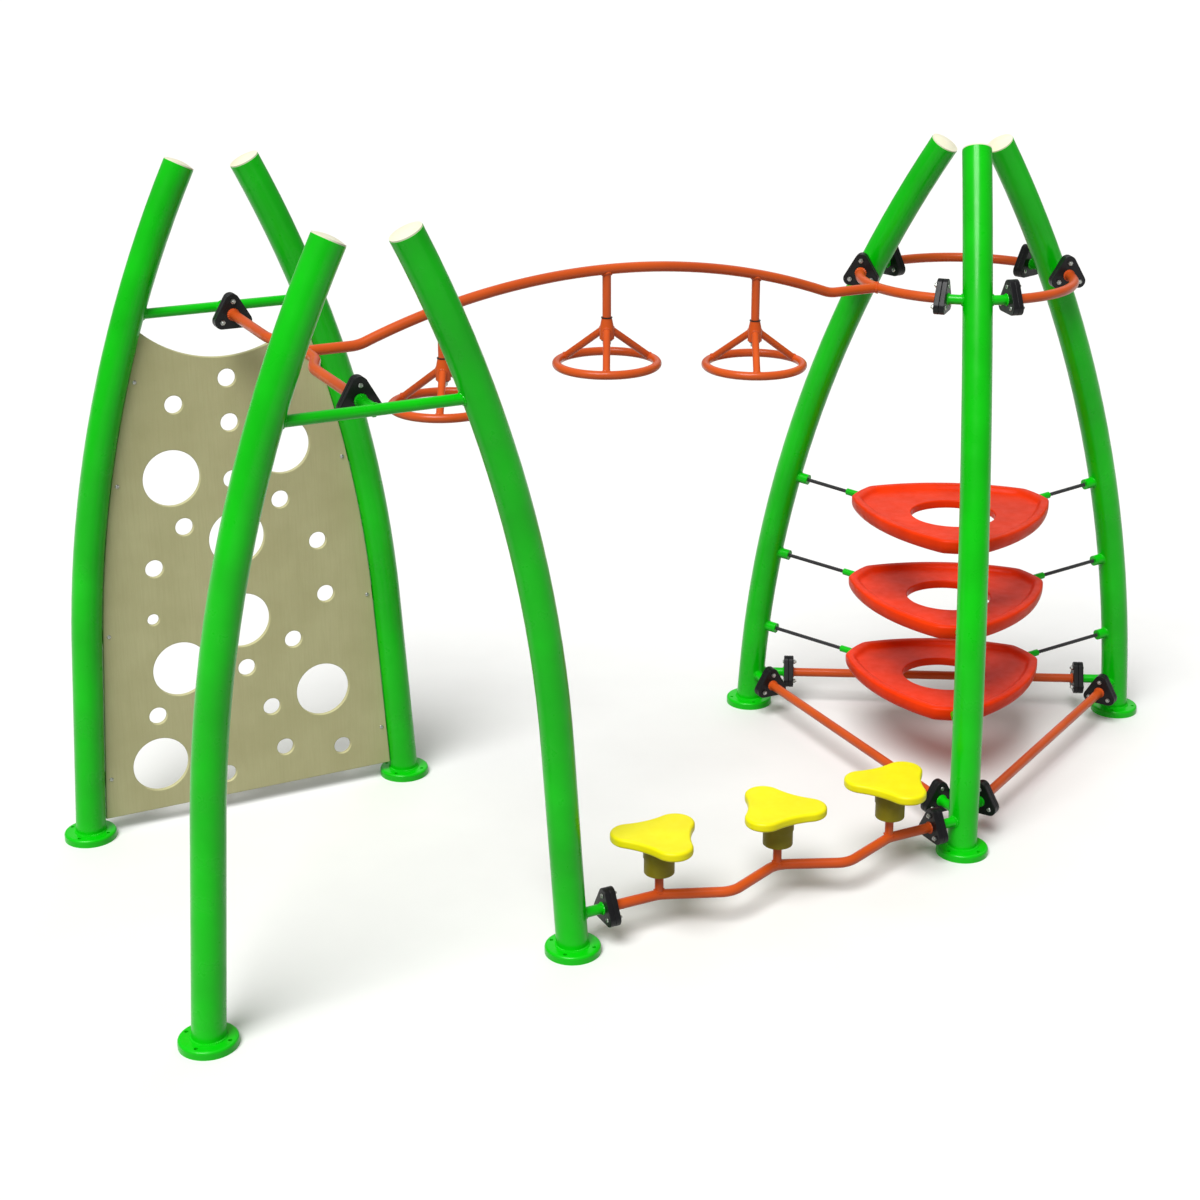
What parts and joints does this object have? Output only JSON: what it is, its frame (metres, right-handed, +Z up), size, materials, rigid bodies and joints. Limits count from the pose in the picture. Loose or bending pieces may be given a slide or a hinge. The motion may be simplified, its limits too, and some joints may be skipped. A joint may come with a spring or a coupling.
{
  "type": "composite playground climber",
  "caption": "Composite climber: holed climbing panel between bent posts, arched overhead rail with turning hand wheels, stepping pods, and a tripod with roped ring dishes.",
  "frame": {"origin": "centre of the whole climber's bounding box, at ground level", "axes": "+X from the four-post bay along the overhead rail to the tripod, +Y from the stepping pods' side to the climbing panel's side, +Z up"},
  "size_m": [4.5916, 1.9149, 2.6139],
  "materials": {
    "green_coat": "gloss powder coat",
    "orange_coat": "satin powder coat",
    "black_coat": "satin powder coat",
    "cap_plastic": "moulded",
    "bush_plastic": "machined bearing plastic",
    "pod_plastic": "rotationally moulded, fine texture",
    "boss_plastic": "moulded",
    "dish_plastic": "rotationally moulded, fine texture",
    "rope_sheath": "braided polyester over steel strands",
    "panel_plastic": "sheet with a fine grain",
    "fastener_steel": "zinc-plated"
  },
  "bodies": {
    "frame": {"post_back_left": "green_coat", "post_back_right": "green_coat", "post_front_left": "green_coat", "post_front_right": "green_coat", "tripod_post_back": "green_coat", "tripod_post_front": "green_coat", "tripod_post_right": "green_coat", "post_caps": "cap_plastic", "tie_rod_back": "green_coat", "tie_rod_front": "green_coat", "crossbar": "orange_coat", "overhead_rail": "orange_coat", "ring_arc_left": "orange_coat", "ring_arc_back": "orange_coat", "ring_arc_front": "orange_coat", "low_bar_left": "orange_coat", "low_bar_back": "orange_coat", "low_bar_front": "orange_coat", "step_rail": "orange_coat", "high_flanges": "black_coat", "ring_flanges": "black_coat", "low_flanges": "black_coat", "flange_bolts": "fastener_steel", "flange_nuts": "fastener_steel", "stem_left": "orange_coat", "stem_middle": "orange_coat", "stem_right": "orange_coat", "spindle_nut_left": "fastener_steel", "spindle_nut_middle": "fastener_steel", "spindle_nut_right": "fastener_steel", "pod_left": "pod_plastic", "pod_middle": "pod_plastic", "pod_right": "pod_plastic", "boss_left": "boss_plastic", "boss_middle": "boss_plastic", "boss_right": "boss_plastic", "pod_stems": "orange_coat", "pod_screws": "fastener_steel", "dish_low": "dish_plastic", "dish_middle": "dish_plastic", "dish_high": "dish_plastic", "ropes_low": "rope_sheath", "ropes_middle": "rope_sheath", "ropes_high": "rope_sheath", "rope_ferrules": "green_coat", "dish_inserts": "fastener_steel", "climbing_panel": "panel_plastic", "panel_screws": "fastener_steel", "panel_nuts": "fastener_steel"},
    "wheel_left_turning": {"wheel_left": "orange_coat", "bushes_left": "bush_plastic"},
    "wheel_middle_turning": {"wheel_middle": "orange_coat", "bushes_middle": "bush_plastic"},
    "wheel_right_turning": {"wheel_right": "orange_coat", "bushes_right": "bush_plastic"}
  },
  "joints": [
    {"name": "wheel_left_spin", "type": "hinge", "parent": "frame", "child": "wheel_left_turning", "pos_m": [-0.986, 0.038, 1.80126], "axis": [0, 0, 1], "continuous": true},
    {"name": "wheel_middle_spin", "type": "hinge", "parent": "frame", "child": "wheel_middle_turning", "pos_m": [-0.341, 0.038, 1.881], "axis": [0, 0, 1], "continuous": true},
    {"name": "wheel_right_spin", "type": "hinge", "parent": "frame", "child": "wheel_right_turning", "pos_m": [0.285, 0.038, 1.80596], "axis": [0, 0, 1], "continuous": true}
  ]
}
